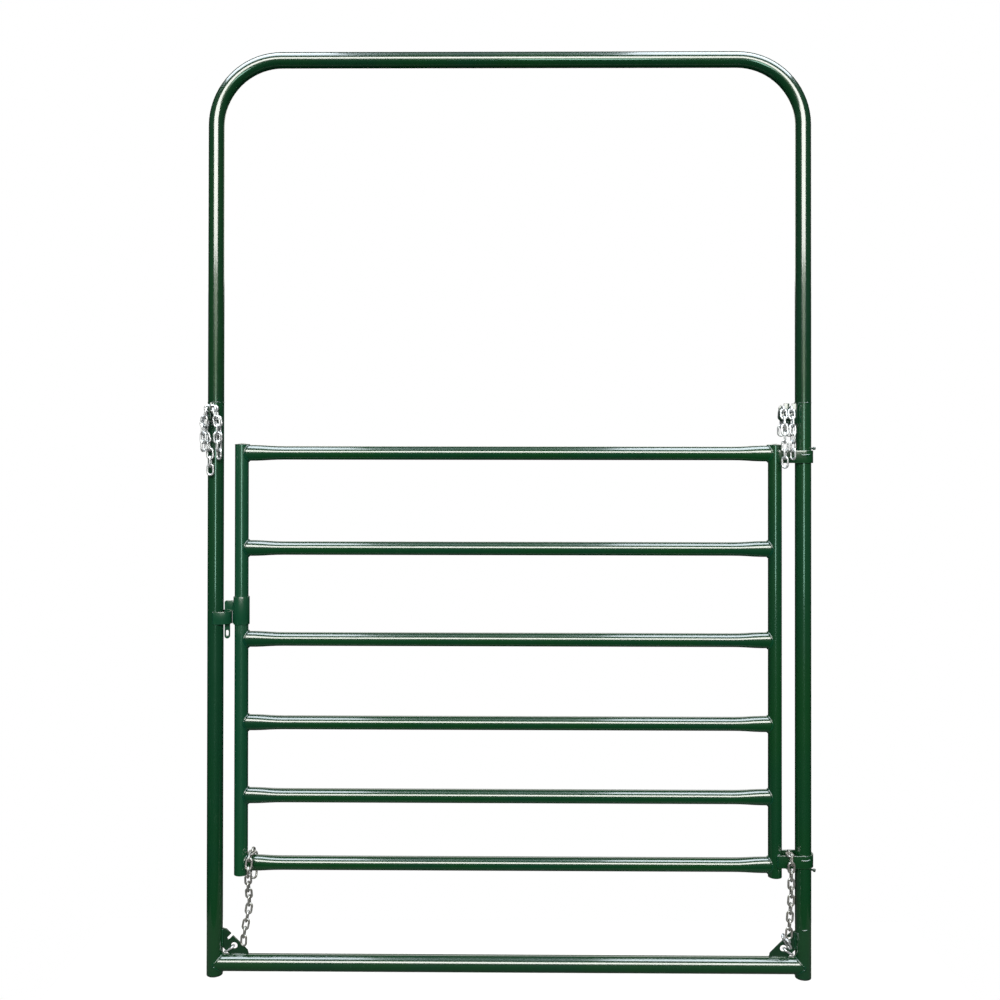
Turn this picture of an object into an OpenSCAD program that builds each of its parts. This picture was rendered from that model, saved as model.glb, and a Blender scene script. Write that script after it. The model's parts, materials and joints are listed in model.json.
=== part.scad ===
// Bow gate for a livestock pen: a tube frame that is bridged by a high bow, with a
// six rail leaf that is hung on the right post and latched on the left post.
// Millimetres, Z up, width along X, the front looks along -Y.
// The origin is the middle of the hinge post's foot, so the leaf turns about Z.

/* [Frame] */
// Distance between the two post axes
post_pitch = 1781; // [1200:1:2400]
// Outside diameter of the posts and of the bow
post_od = 48.3; // [40:0.1:60]
// Wall of the posts, the bow and the sill
post_wall = 2.1; // [1.5:0.1:4]
// Height of the seam where the bow stands in the posts
seam_z = 1734; // [1660:1:1900]
// Height of the bow's axis over the ground
bow_axis_z = 2776; // [2200:1:3200]
// Bend radius of the bow's two corners, on the tube's axis
bow_bend_r = 200; // [120:1:400]
// Length of the bow's reduced end inside each post
spigot_len = 60; // [30:1:120]
// Height of the sill's axis over the ground
sill_axis_z = 36; // [30:1:80]
// Outside diameter of the sill
sill_od = 50; // [40:0.1:60]
// Thickness of the plug's rim under each post
foot_cap_t = 3; // [2:0.5:8]
// Length of the plug inside each post
foot_plug_len = 20; // [10:1:40]

/* [Leaf] */
// Outside diameter of the stiles and the rails
leaf_od = 41.3; // [30:0.1:48]
// Wall of the stiles and the rails
leaf_wall = 1.7; // [1.2:0.1:3]
// From the latch post's axis to the latch stile's axis
latch_stile_off = 79.2; // [70:0.1:120]
// From the hinge post's axis to the hinge stile's axis
hinge_stile_off = 85; // [75:0.1:120]
// Lower end of the stiles
leaf_bottom_z = 303; // [200:1:500]
// Upper end of the stile tubes, under their caps
leaf_top_z = 1606; // [1400:1:1640]
// Rise of the domed caps
stile_cap_rise = 5; // [3:0.5:10]
// Heights of the six rails' axes, from the bottom one up
rail_z = [338, 542, 763, 1016, 1292, 1581];
// Length of the pressed taper at each rail end
flare_len = 110; // [60:1:200]
// How much taller a rail gets at its pressed end
flare_rise = 7; // [0:0.5:12]
// How much thinner a rail gets at its pressed end
flare_pinch = 5; // [0:0.5:12]

/* [Hinges] */
// Thickness of the hinge straps
hinge_t = 5; // [3:0.5:8]
// Height of the hinge straps
hinge_h = 38; // [25:1:60]
// Play between a hinge strap and the post, on the radius
hinge_play = 0.5; // [0.3:0.1:1]
// Heights of the two straps' middles
hinge_z = [355.5, 1571.5];
// Diameter of the stop bolts' shanks
stop_d = 10; // [6:0.5:14]
// How far the stop bolts stand out of the post
stop_out = 14; // [8:0.5:25]
// Direction of the stop bolts, round the post from +X
stop_turn = -38; // [-90:1:0]

/* [Latch] */
// Outside diameter of the sliding sleeve
sleeve_od = 48.3; // [46:0.1:52]
// Play between the sleeve and its stile, on the radius
sleeve_play = 0.6; // [0.3:0.1:1]
// Length of the sleeve
sleeve_h = 84; // [60:1:120]
// Lower end of the sleeve
sleeve_z = 1061; // [1055:1:1100]
// Thickness of the latch plate
latch_t = 6; // [4:0.5:10]
// Width of the latch's tongue
tongue_w = 16; // [10:0.5:18]
// How far the tongue hangs under the keeper
tongue_drop = 46; // [20:1:60]
// Height of the latch plate over the keeper
shoulder_h = 31; // [15:1:45]
// Thickness of the keeper strap
keeper_t = 4; // [3:0.5:6]
// Height of the keeper strap
keeper_h = 38; // [25:1:45]
// Lower edge of the keeper strap
keeper_z = 1063; // [1040:1:1080]
// Reach of the keeper strap from the post's axis
keeper_reach = 50; // [48:0.5:50]

/* [Corner and bracket plates] */
// Thickness of the plates
plate_t = 6; // [4:0.5:10]
// Leg length of the corner plates
gusset_leg = 79; // [60:1:100]
// Cut at the corner plates' tips
gusset_tip = 6; // [3:0.5:12]
// Leg of the cut at the inner corner
gusset_clip = 22; // [10:1:28]
// Diameter of the chain hole in the corner plates
gusset_hole_d = 20; // [16:0.5:24]
// Width of the chain slots
slot_w = 8; // [7:0.5:12]
// Depth of the corner plates' chain slots
slot_depth = 18; // [10:1:25]
// Reach of the chain brackets from the post's axis
bracket_reach = 78; // [74:1:90]
// Height of the chain brackets
bracket_h = 60; // [50:1:80]
// Lower edge of the chain brackets
bracket_z = 1672; // [1650:1:1674]
// Forward offset of the hinge side bracket from the post's axis
bracket_off = 17; // [12:0.5:20]
// Depth of the brackets' chain slots
bracket_slot = 26; // [24:1:32]

/* [Chain] */
// Diameter of the chain's wire
wire_d = 6.4; // [5:0.1:7]
// Distance from one link to the next
link_pitch = 24.4; // [20:0.1:28]
// Outside length of a link
link_len = 37.8; // [32:0.1:42]
// Outside width of a link
link_w = 23.2; // [20:0.1:25]

/* [Hidden] */
post_r = post_od / 2;
sill_r = sill_od / 2;
leaf_r = leaf_od / 2;
latch_post_x = -post_pitch;
latch_stile_x = latch_post_x + latch_stile_off;
hinge_stile_x = -hinge_stile_off;
fit_gap = 0.2;                       // between parts that are welded or pushed together
paint_green = [0.10, 0.26, 0.17];
cap_black = [0.06, 0.07, 0.07];
zinc = [0.72, 0.74, 0.75];
$fn = 64;

// Points along an arc, for outlines with rounded corners
function arc(c, r, from, to, n = 12) =
    [for (i = [0 : n]) let (a = from + (to - from) * i / n) c + r * [cos(a), sin(a)]];

// A round tube along Z from z = 0
module tube(od, wall, len) {
    difference() {
        cylinder(d = od, h = len);
        translate([0, 0, -1]) cylinder(d = od - 2 * wall, h = len + 2);
    }
}

// Frame

module latch_post() {
    color(paint_green) translate([latch_post_x, 0, foot_cap_t])
        tube(post_od, post_wall, seam_z - foot_cap_t);
}

module hinge_post() {
    color(paint_green) translate([0, 0, foot_cap_t])
        tube(post_od, post_wall, seam_z - foot_cap_t);
}

// One corner of the bow: the leg at x = 0 bends over towards -X
module bow_corner() {
    translate([-bow_bend_r, 0, bow_axis_z - bow_bend_r])
        rotate([90, 0, 0]) rotate_extrude(angle = 90)
            translate([bow_bend_r, 0]) difference() {
                circle(d = post_od);
                circle(d = post_od - 2 * post_wall);
            }
}

// One leg of the bow with the reduced end that stands inside the post
module bow_leg() {
    spigot_od = post_od - 2 * post_wall - 2 * fit_gap;
    translate([0, 0, seam_z + fit_gap])
        tube(post_od, post_wall, bow_axis_z - bow_bend_r - seam_z - fit_gap);
    translate([0, 0, seam_z - spigot_len])
        tube(spigot_od, post_wall, spigot_len + fit_gap + post_wall);
    translate([0, 0, seam_z + fit_gap])
        tube(post_od, 2 * post_wall + fit_gap, post_wall);
}

module bow_tube() {
    color(paint_green) {
        bow_leg();
        bow_corner();
        translate([latch_post_x, 0, 0]) bow_leg();
        translate([latch_post_x, 0, 0]) mirror([1, 0, 0]) bow_corner();
        translate([latch_post_x + bow_bend_r, 0, bow_axis_z])
            rotate([0, 90, 0]) tube(post_od, post_wall, post_pitch - 2 * bow_bend_r);
    }
}

module bottom_sill() {
    color(paint_green) difference() {
        translate([latch_post_x, 0, sill_axis_z])
            rotate([0, 90, 0]) tube(sill_od, post_wall, post_pitch);
        for (x = [latch_post_x, 0])
            translate([x, 0, -post_od]) cylinder(r = post_r + fit_gap, h = 4 * post_od);
    }
}

// The plug under a post: its flat rim stands on the ground
module foot_cap() {
    cylinder(d = post_od, h = foot_cap_t - fit_gap);
    cylinder(d = post_od - 2 * post_wall - 2 * fit_gap, h = foot_plug_len);
}

module latch_post_foot_cap() {
    color(cap_black) translate([latch_post_x, 0, 0]) foot_cap();
}

module hinge_post_foot_cap() {
    color(cap_black) foot_cap();
}

// Middle of the chain hole and mouth of the chain slot, from the post's side and
// the sill's top
gusset_hole_at = [gusset_leg * 0.45, gusset_leg * 0.33];
gusset_slot_at = [gusset_leg * 0.35, gusset_leg * 0.735];

// A corner plate that fills the +X, +Z corner, measured from the post's side and
// the sill's top: a chain slot in the long edge, a chain hole and a cut inner corner
module gusset() {
    translate([post_r + fit_gap, plate_t / 2, sill_axis_z + sill_r])
        rotate([90, 0, 0]) linear_extrude(plate_t) difference() {
            polygon([
                [0, gusset_clip], [gusset_clip, 0], [gusset_leg, 0],
                [gusset_leg - gusset_tip / 2, gusset_tip * 2],
                [gusset_tip * 2, gusset_leg - gusset_tip / 2], [0, gusset_leg]
            ]);
            translate(gusset_hole_at) circle(d = gusset_hole_d);
            translate(gusset_slot_at) rotate(225) translate([0, -slot_w / 2])
                square([slot_depth - slot_w / 2, slot_w]);
            translate(gusset_slot_at) rotate(45) translate([-1, -slot_w / 2])
                square([slot_w * 2, slot_w]);
            translate(gusset_slot_at) rotate(225) translate([slot_depth - slot_w / 2, 0])
                circle(d = slot_w);
        }
}

module latch_side_gusset() {
    color(paint_green) translate([latch_post_x, 0, 0]) gusset();
}

module hinge_side_gusset() {
    color(paint_green) mirror([1, 0, 0]) gusset();
}

// The keeper: a flat bar bent round the latch's tongue and lapped onto the post
module latch_keeper_strap() {
    bend_r = post_r + fit_gap + keeper_t;
    flat = keeper_reach - bend_r;
    color(paint_green) translate([latch_post_x, 0, keeper_z])
        linear_extrude(keeper_h) difference() {
            union() {
                translate([flat, 0]) circle(r = bend_r);
                translate([0, -bend_r]) square([flat, 2 * bend_r]);
            }
            translate([flat, 0]) circle(r = bend_r - keeper_t);
            translate([-1, keeper_t - bend_r]) square([flat + 1, 2 * (bend_r - keeper_t)]);
            translate([-bend_r, -bend_r]) square([bend_r, 2 * bend_r]);
        }
}

// A chain bracket in the plane of X and Z: it reaches from a post's skin to -X,
// with two chain slots down from its top edge
module chain_bracket(root) {
    chamfer = bracket_h / 5;
    rotate([90, 0, 0]) linear_extrude(plate_t, center = true) difference() {
        polygon([
            [-root, 0], [-root, bracket_h - chamfer / 3], [-root - chamfer / 2, bracket_h],
            [chamfer - bracket_reach, bracket_h], [-bracket_reach, bracket_h - chamfer],
            [-bracket_reach, chamfer], [chamfer - bracket_reach, 0]
        ]);
        for (x = bracket_slots) {
            translate([-x - slot_w / 2, bracket_h - bracket_slot]) square([slot_w, bracket_h]);
            translate([-x, bracket_h - bracket_slot]) circle(d = slot_w);
        }
    }
}

bracket_slots = [66, 42];            // distances of the chain slots from the post's axis

module latch_side_chain_bracket() {
    color(paint_green) translate([latch_post_x, 0, bracket_z])
        rotate([0, 0, 90]) chain_bracket(post_r + fit_gap);
}

module hinge_side_chain_bracket() {
    color(paint_green) translate([0, -bracket_off, bracket_z])
        chain_bracket(sqrt(pow(post_r, 2) - pow(bracket_off - plate_t / 2, 2)) + fit_gap);
}

// A stop bolt: its shank comes out of the post's skin, with a round head
module stop_bolt(z) {
    head_h = stop_d * 0.45;
    translate([0, 0, z]) rotate([0, 0, stop_turn]) rotate([0, 90, 0]) {
        translate([0, 0, post_r + fit_gap]) cylinder(d = stop_d * 0.6, h = stop_out - head_h);
        translate([0, 0, post_r + stop_out - head_h]) cylinder(d = stop_d, h = head_h);
    }
}

module upper_hinge_stop_bolt() {
    color(paint_green) stop_bolt(hinge_z[1] + hinge_h / 2 + stop_d / 2 + 1);
}

module lower_hinge_stop_bolt() {
    color(paint_green) stop_bolt(hinge_z[0] - hinge_h / 2 - stop_d / 2 - 1);
}

// Chain

// One link, its length along Z and flat in the plane of X and Z
module link() {
    side = (link_w - wire_d) / 2;
    straight = link_len - link_w;
    for (s = [-1, 1]) {
        translate([s * side, 0, 0]) cylinder(d = wire_d, h = straight, center = true);
        translate([0, 0, s * straight / 2]) rotate([s * 90, 0, 0])
            rotate_extrude(angle = 180) translate([side, 0]) circle(d = wire_d);
    }
}

// A link's pose is [lean, az, roll]: lean is from straight down, az turns that lean
// round Z, and roll turns the link about its own length
function heading(p) = [sin(p[0]) * cos(p[1]), sin(p[0]) * sin(p[1]), -cos(p[0])];
function flat_normal(p) = let (n = [-sin(p[1]), cos(p[1]), 0])
    cos(p[2]) * n + sin(p[2]) * cross(heading(p), n);

// How far a link's middle is from the point where the next link turns on it: the
// turn is about whichever wire crosses the bend
function reach(p, q) = let (c = cross(heading(p), heading(q)))
    link_pitch / 2 + (norm(c) < 0.01 ? 0 :
        (1 - 2 * pow(c * flat_normal(p) / norm(c), 2)) * (link_len - wire_d - link_pitch) / 2);

function middles(c, poses, i = 0) = i + 1 == len(poses) ? [c] :
    let (a = reach(poses[i], poses[i + 1]))
    concat([c], middles(c + a * heading(poses[i]) + (link_pitch - a) * heading(poses[i + 1]),
                        poses, i + 1));

// A run of links from the middle of the first one, each hung on the one before
module chain(start, poses) {
    at = middles(start, poses);
    for (i = [0 : len(poses) - 1])
        translate(at[i]) rotate([0, 0, poses[i][1]])
            rotate([0, 180 - poses[i][0], 0]) rotate([0, 0, poses[i][2]]) link();
}

// The poses of a strand that leaves a level link: it leans by the angles in leans,
// then hangs straight, and it twists a little from link to link
function strand(az, leans, count, twist = 0) = concat([[90, az, 0]], [
    for (i = [0 : count - 1])
        [i < len(leans) ? leans[i] : 0, az, (i % 2 == 0 ? 90 : 0) + i * twist]
]);

tie_z = bracket_z + bracket_h - bracket_slot - slot_w / 2 + link_w / 2 + 0.4;

// The chain hooked in the two slots of the left bracket, which points to the front
module latch_side_tie_chain() {
    color(zinc) translate([latch_post_x, 0, tie_z]) {
        chain([0, -bracket_slots[0], 0], strand(180, [16, 10], 5, 6));
        chain([0, -bracket_slots[0], 0], strand(0, [16, 10], 5, -6));
        chain([0, -bracket_slots[1], 0], strand(180, [16, 10, -4, -14, -12, -6], 8));
        chain([0, -bracket_slots[1], 0], strand(0, [16, 10], 6, 7));
    }
}

// The chain hooked in the two slots of the right bracket, in front of the leaf
module hinge_side_tie_chain() {
    color(zinc) translate([0, -bracket_off, tie_z]) {
        for (x = bracket_slots) chain([-x, 0, 0], strand(90, [16, 6], 3, 5));
        chain([-bracket_slots[0], 0, 0], strand(-90, [20, 16, 10], 7, 5));
        chain([-bracket_slots[1], 0, 0], strand(-90, [20, 16, 10], 6, -7));
    }
}

// A link that ties a corner plate's hole to its cut inner corner
module gusset_links() {
    turn = 33;
    from_hole = 17.3;
    translate([post_r + fit_gap + gusset_hole_at[0] - from_hole * cos(turn), 0,
               sill_axis_z + sill_r + gusset_hole_at[1] - from_hole * sin(turn)])
        rotate([0, 90 - turn, 0]) rotate([0, 0, 90]) link();
}

// A link caught in a corner plate's chain slot, with the two that hang on it in
// front of the plate and behind it
module slot_links() {
    caught_depth = slot_depth - slot_w / 2 + 0.5 - (link_w - wire_d) / 2;
    bow = (link_len - wire_d) / 2;
    aside = 3;
    below = 8;
    translate([post_r + fit_gap + gusset_slot_at[0] - caught_depth * cos(45), 0,
               sill_axis_z + sill_r + gusset_slot_at[1] - caught_depth * sin(45)]) {
        rotate([0, -45, 0]) rotate([90, 0, 0]) link();
        for (side = [0, 1]) mirror([0, side, 0])
            translate([aside, -bow, -below]) rotate([0, 30, 0]) rotate([0, 0, 60]) link();
    }
}

module latch_side_gusset_links() {
    color(zinc) translate([latch_post_x, 0, 0]) gusset_links();
}

module hinge_side_gusset_links() {
    color(zinc) mirror([1, 0, 0]) {
        gusset_links();
        slot_links();
    }
}

// Leaf

module stile(x) {
    translate([x, 0, leaf_bottom_z]) tube(leaf_od, leaf_wall, leaf_top_z - leaf_bottom_z);
}

module latch_stile() {
    color(paint_green) stile(latch_stile_x);
}

module hinge_stile() {
    color(paint_green) stile(hinge_stile_x);
}

// A domed cap on a stile's end, with a rim that fits inside the tube
module stile_cap() {
    dome_r = (leaf_r * leaf_r + stile_cap_rise * stile_cap_rise) / (2 * stile_cap_rise);
    intersection() {
        translate([0, 0, stile_cap_rise - dome_r]) sphere(r = dome_r, $fn = 96);
        translate([0, 0, fit_gap]) cylinder(d = leaf_od, h = stile_cap_rise);
    }
    translate([0, 0, -8]) cylinder(d = leaf_od - 2 * leaf_wall - 2 * fit_gap, h = 8 + 2 * fit_gap);
}

module latch_stile_top_cap() {
    color(paint_green) translate([latch_stile_x, 0, leaf_top_z]) stile_cap();
}

module hinge_stile_top_cap() {
    color(paint_green) translate([hinge_stile_x, 0, leaf_top_z]) stile_cap();
}

// A flat disc that closes a stile's lower end
module stile_disc() {
    translate([0, 0, fit_gap]) cylinder(d = leaf_od - 2 * leaf_wall - 2 * fit_gap, h = 3);
}

module latch_stile_bottom_cap() {
    color(paint_green) translate([latch_stile_x, 0, leaf_bottom_z]) stile_disc();
}

module hinge_stile_bottom_cap() {
    color(paint_green) translate([hinge_stile_x, 0, leaf_bottom_z]) stile_disc();
}

// How far a rail is pressed, step by step from a stile to its round middle
presses = [1, 0.96, 0.75, 0.35, 0.08, 0];
rail_sides = 36;

// The points round a rail at x: round at press = 0, tall and thin at press = 1. With a
// cope of 1 or -1 they lie on the saddle that fits the stile at that x.
function rail_ring(x, inset, press, cope = 0) = [
    for (i = [0 : rail_sides - 1])
        let (a = 360 * i / rail_sides,
             y = (leaf_r - inset - press * flare_pinch / 2) * sin(a),
             z = (leaf_r - inset + press * flare_rise / 2) * cos(a))
        [x + cope * sqrt(pow(leaf_r + fit_gap, 2) - y * y), y, z]
];

// All rings of a rail's skin, or with an inset of its bore, from one stile to the other
function rail_rings(len, inset) = let (n = len(presses) - 1) concat(
    [rail_ring(0, inset, presses[0], 1)],
    [for (i = [1 : n]) rail_ring(leaf_r + i * flare_len / n, inset, presses[i])],
    [for (i = [n : -1 : 1]) rail_ring(len - leaf_r - i * flare_len / n, inset, presses[i])],
    [rail_ring(len, inset, presses[0], -1)]
);

// Triangles between ring r and ring s, from inside to outside as seen along the rail
function band(r, s) = [
    for (i = [0 : rail_sides - 1]) let (j = (i + 1) % rail_sides)
        each [[r * rail_sides + i, s * rail_sides + i, s * rail_sides + j],
              [r * rail_sides + i, s * rail_sides + j, r * rail_sides + j]]
];

module rail(z) {
    span = hinge_stile_x - latch_stile_x;
    skin = rail_rings(span, 0);
    bore = rail_rings(span, leaf_wall);
    n = len(skin);
    color(paint_green) translate([latch_stile_x, 0, z]) polyhedron(
        points = [for (ring = concat(skin, bore)) each ring],
        faces = concat(
            [for (k = [0 : n - 2]) each band(k, k + 1)],
            [for (k = [0 : n - 2]) each band(n + k + 1, n + k)],
            band(n, 0), band(n - 1, 2 * n - 1)
        )
    );
}

module bottom_rail() { rail(rail_z[0]); }
module fifth_rail() { rail(rail_z[1]); }
module fourth_rail() { rail(rail_z[2]); }
module third_rail() { rail(rail_z[3]); }
module second_rail() { rail(rail_z[4]); }
module top_rail() { rail(rail_z[5]); }

// A hinge strap: a flat bar round the post, its two legs lapped on the stile
module hinge_strap(z) {
    bore_r = post_r + hinge_play;
    outer_r = bore_r + hinge_t;
    lap_x = hinge_stile_x + leaf_r * 0.25;
    lap_y = leaf_r + fit_gap;
    color(paint_green) translate([0, 0, z - hinge_h / 2]) linear_extrude(hinge_h)
        difference() {
            union() {
                circle(r = outer_r);
                polygon([
                    [0, -outer_r], [0, outer_r],
                    [lap_x, lap_y + hinge_t], [lap_x, -lap_y - hinge_t]
                ]);
            }
            circle(r = bore_r);
            polygon([
                [0, -bore_r], [0, bore_r], [lap_x - 1, lap_y], [lap_x - 1, -lap_y]
            ]);
        }
}

module lower_hinge_strap() { hinge_strap(hinge_z[0]); }
module upper_hinge_strap() { hinge_strap(hinge_z[1]); }

// The chain slung over the bottom rail beside the latch stile
module latch_side_hanging_chain() {
    top = [latch_stile_x + 33, 0, rail_z[0] + leaf_r + flare_rise / 2 + wire_d / 2 + 3.2];
    color(zinc) {
        chain(top, [
            [90, -90, 90], [65, -90, 0], [10, -115, 65], [-6, -70, 15], [-14, -80, 85],
            [-22, -85, 5], [-16, -90, 90], [-4, -90, 0], [9, 180, 0], [11, 180, 90],
            [11, 180, 0], [8, 180, 90], [2, 180, 20]
        ]);
        chain(top, [[90, 90, 90], [65, 90, 0], [4, 90, 90], [-10, 90, 0], [-18, 90, 90]]);
    }
}

// The chain slung over the front leg of the lower hinge strap
module hinge_side_hanging_chain() {
    over = [-46, -leaf_r - hinge_t / 2 - 2, hinge_z[0] + hinge_h / 2 + wire_d / 2 + 0.3];
    color(zinc) {
        chain(over, [
            [90, -90, 90], [12, -90, 0], [-6, -90, 90], [0, -90, 0], [0, -90, 90],
            [0, -90, 0], [4, 180, 0], [4, 180, 90], [4, 180, 0], [3, 180, 90], [3, 180, 0]
        ]);
        chain(over, [[90, 90, 90], [4, 90, 0], [0, 90, 90]]);
    }
}

// Latch

module latch_sleeve() {
    bore_d = leaf_od + 2 * sleeve_play;
    color(paint_green) translate([latch_stile_x, 0, sleeve_z]) difference() {
        cylinder(d = sleeve_od, h = sleeve_h);
        translate([0, 0, -1]) cylinder(d = bore_d, h = sleeve_h + 2);
    }
}

// The latch plate in the plane of X and Z: it is notched over the keeper's bend,
// and its tongue hangs between the keeper and the post
module latch_plate() {
    seat_gap = 0.5;
    notch_left = keeper_reach - keeper_t - 2;
    notch_right = keeper_reach + 2;
    sleeve_x = latch_stile_off - sleeve_od / 2 - fit_gap;
    seat_z = keeper_z + keeper_h + seat_gap;
    tongue_x = notch_left - tongue_w;
    tongue_r = tongue_w / 2;
    tongue_at = [tongue_x + tongue_r, keeper_z - tongue_drop + tongue_r];
    hole_r = tongue_r * 0.6;
    hole_at = tongue_at + [0, hole_r];
    color(paint_green) translate([latch_post_x, latch_t / 2, 0])
        rotate([90, 0, 0]) linear_extrude(latch_t) difference() {
            polygon(concat(arc(tongue_at, tongue_r, 180, 360), [
                [notch_left, seat_z], [notch_right, seat_z],
                [notch_right, keeper_z], [sleeve_x, keeper_z],
                [sleeve_x, seat_z + shoulder_h], [tongue_x + 4, seat_z + shoulder_h],
                [tongue_x, seat_z + shoulder_h - 4]
            ]));
            polygon(concat(arc(hole_at, hole_r, 180, 360),
                           arc(hole_at + [0, hole_r * 1.8], hole_r, 0, 180)));
        }
}

latch_post();
hinge_post();
bow_tube();
bottom_sill();
latch_post_foot_cap();
hinge_post_foot_cap();
latch_side_gusset();
hinge_side_gusset();
latch_keeper_strap();
latch_side_chain_bracket();
hinge_side_chain_bracket();
latch_side_tie_chain();
hinge_side_tie_chain();
upper_hinge_stop_bolt();
lower_hinge_stop_bolt();
latch_side_gusset_links();
hinge_side_gusset_links();
latch_stile();
hinge_stile();
latch_stile_top_cap();
hinge_stile_top_cap();
latch_stile_bottom_cap();
hinge_stile_bottom_cap();
bottom_rail();
fifth_rail();
fourth_rail();
third_rail();
second_rail();
top_rail();
upper_hinge_strap();
lower_hinge_strap();
latch_side_hanging_chain();
hinge_side_hanging_chain();
latch_sleeve();
latch_plate();
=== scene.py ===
"""Looks of a bow gate: a gloss enamelled tube frame that is bridged by a high bow, a
six rail leaf, a lift latch and bright zinc tie chains. Metres, Z up, the front looks
along -Y. The solids of the gate are the fixed frame that every piece here rides on.
"""

import json
import logging
import math
from collections.abc import Iterator
from contextlib import contextmanager
from dataclasses import dataclass, field
from enum import Enum

import bpy
from mathutils import Matrix, Vector

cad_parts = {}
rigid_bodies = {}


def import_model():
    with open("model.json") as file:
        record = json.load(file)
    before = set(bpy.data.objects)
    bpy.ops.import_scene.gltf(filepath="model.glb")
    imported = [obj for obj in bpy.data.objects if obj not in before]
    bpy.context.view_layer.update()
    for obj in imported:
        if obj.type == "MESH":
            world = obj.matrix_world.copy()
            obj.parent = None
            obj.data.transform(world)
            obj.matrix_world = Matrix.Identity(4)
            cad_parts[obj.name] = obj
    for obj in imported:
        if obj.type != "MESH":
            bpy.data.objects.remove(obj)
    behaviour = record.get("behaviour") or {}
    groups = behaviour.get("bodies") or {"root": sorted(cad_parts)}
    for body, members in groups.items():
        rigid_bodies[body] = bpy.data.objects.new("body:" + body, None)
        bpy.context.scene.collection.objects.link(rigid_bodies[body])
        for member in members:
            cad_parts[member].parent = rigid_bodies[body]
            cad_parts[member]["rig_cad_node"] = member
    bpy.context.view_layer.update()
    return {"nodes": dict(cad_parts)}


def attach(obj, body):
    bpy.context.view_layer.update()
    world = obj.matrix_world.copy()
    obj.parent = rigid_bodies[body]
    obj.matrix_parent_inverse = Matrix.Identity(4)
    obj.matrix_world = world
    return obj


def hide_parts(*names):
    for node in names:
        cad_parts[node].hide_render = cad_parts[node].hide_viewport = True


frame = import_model()
LOG = logging.getLogger("bow_gate")
MM = 0.001
WHITE = (1.0, 1.0, 1.0, 1.0)
SMOOTH_ANGLE = math.radians(35)
EDGE_ANGLE = math.radians(40)
FLAT_ANGLE = math.radians(1)
QUAD_TURN = 0.6
MERGE_GAP = 0.01 * MM

Tone = tuple[int, int, int]
Colour = tuple[float, float, float, float]
Pair = tuple[float, float]
Triple = tuple[float, float, float]


class Body(Enum):
    """The bodies that pieces ride on."""

    FRAME = "frame"
    LEAF = "leaf"
    LATCH = "latch"


class Slot(Enum):
    """The material slots of the part."""

    PAINT = "green_paint"
    PLUG = "black_plug"
    ZINC = "zinc_chain"


# ---- shader writing


class Signal:
    """An output of a shader node that takes part in written maths."""

    def __init__(self, graph: "Graph", socket: bpy.types.NodeSocket) -> None:
        """Wraps a socket.

        Args:
            graph: The finish's node tree.
            socket: The node output.
        """
        self.graph = graph
        self.socket = socket

    def _math(self, operation: str, other: "Signal | float", swapped: bool = False) -> "Signal":
        """Adds a Math node on this value and another one.

        Args:
            operation: The Math node's operation.
            other: The second value.
            swapped: Whether the other value comes first.

        Returns:
            The result.
        """
        pair = (other, self) if swapped else (self, other)
        return self.graph.add("ShaderNodeMath", {0: pair[0], 1: pair[1]}, operation=operation)

    def __add__(self, other: "Signal | float") -> "Signal":
        """This value plus another."""
        return self._math("ADD", other)

    __radd__ = __add__

    def __sub__(self, other: "Signal | float") -> "Signal":
        """This value less another."""
        return self._math("SUBTRACT", other)

    def __rsub__(self, other: "Signal | float") -> "Signal":
        """Another value less this one."""
        return self._math("SUBTRACT", other, swapped=True)

    def __mul__(self, other: "Signal | float") -> "Signal":
        """This value times another."""
        return self._math("MULTIPLY", other)

    __rmul__ = __mul__

    def ramp(self, low: float, high: float) -> "Signal":
        """A smooth step of this value.

        Args:
            low: The value that gives 0.
            high: The value that gives 1.

        Returns:
            The step, from 0 to 1.
        """
        return self.graph.add(
            "ShaderNodeMapRange",
            {"Value": self, "From Min": low, "From Max": high},
            interpolation_type="SMOOTHSTEP",
        )


@dataclass(frozen=True)
class Grain:
    """A noise pattern.

    Its scale counts features per metre, and its stretch multiplies that along X, Y and Z.
    Noise at the low end of its span leaves no mark and at the high end a full one, and a
    full mark counts for the grain's share.
    """

    scale: float = 1.0
    detail: float = 2.0
    rough: float = 0.5
    stretch: Triple | None = None
    span: Pair = (0.0, 1.0)
    share: float = 1.0


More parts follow.
